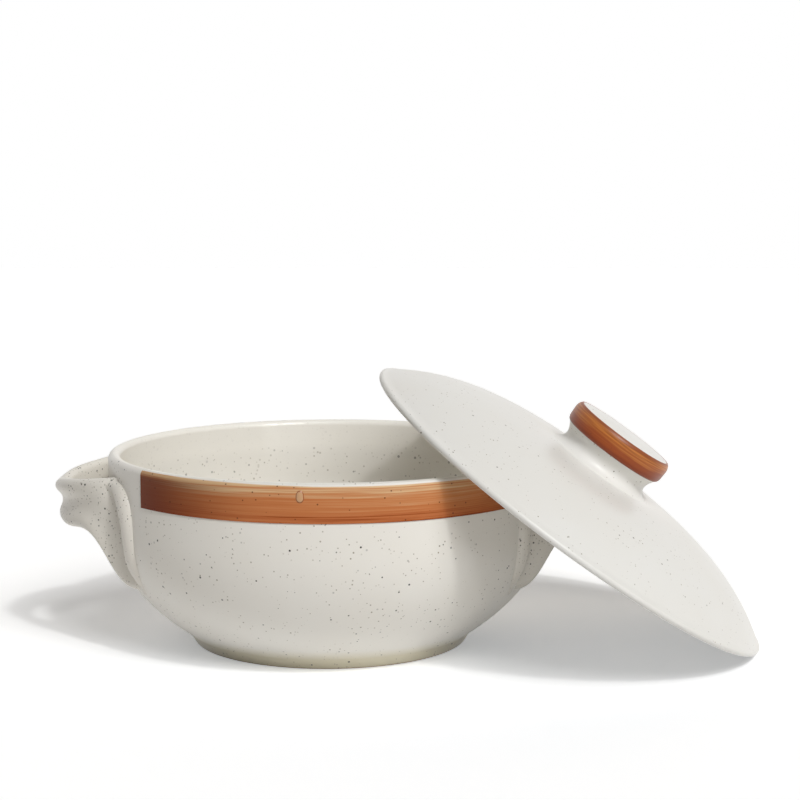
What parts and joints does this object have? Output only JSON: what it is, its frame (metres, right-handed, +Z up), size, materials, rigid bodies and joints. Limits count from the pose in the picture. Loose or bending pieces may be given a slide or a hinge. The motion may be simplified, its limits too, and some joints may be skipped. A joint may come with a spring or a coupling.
{
  "type": "lidded serving bowl",
  "caption": "Round speckled stoneware serving bowl with ear handles, a brown brushed band under the rim, and a loose domed lid with a knob that leans against its side.",
  "frame": {"origin": "centre of the bowl's foot ring, on the plane that it stands on", "axes": "+Z up, the handles on the X axis, the lid leaning at +X, and the front of the picture towards -Y"},
  "size_m": [0.3183, 0.2185, 0.1231],
  "materials": {
    "glaze": "speckled cream satin glaze",
    "slip": "brushed brown slip under the glaze"
  },
  "bodies": {
    "bowl": {"bowl_body": "glaze", "handle_left": "glaze", "handle_right": "glaze", "rim_band_front": "slip", "rim_band_back": "slip"},
    "lid": {"lid_shell": "glaze", "lid_knob": "glaze", "knob_band": "slip"}
  },
  "joints": [
    {"name": "lid_lift", "type": "slide", "parent": "bowl", "child": "lid", "axis": [0, 0, 1], "range_m": [0, 0.15]}
  ]
}
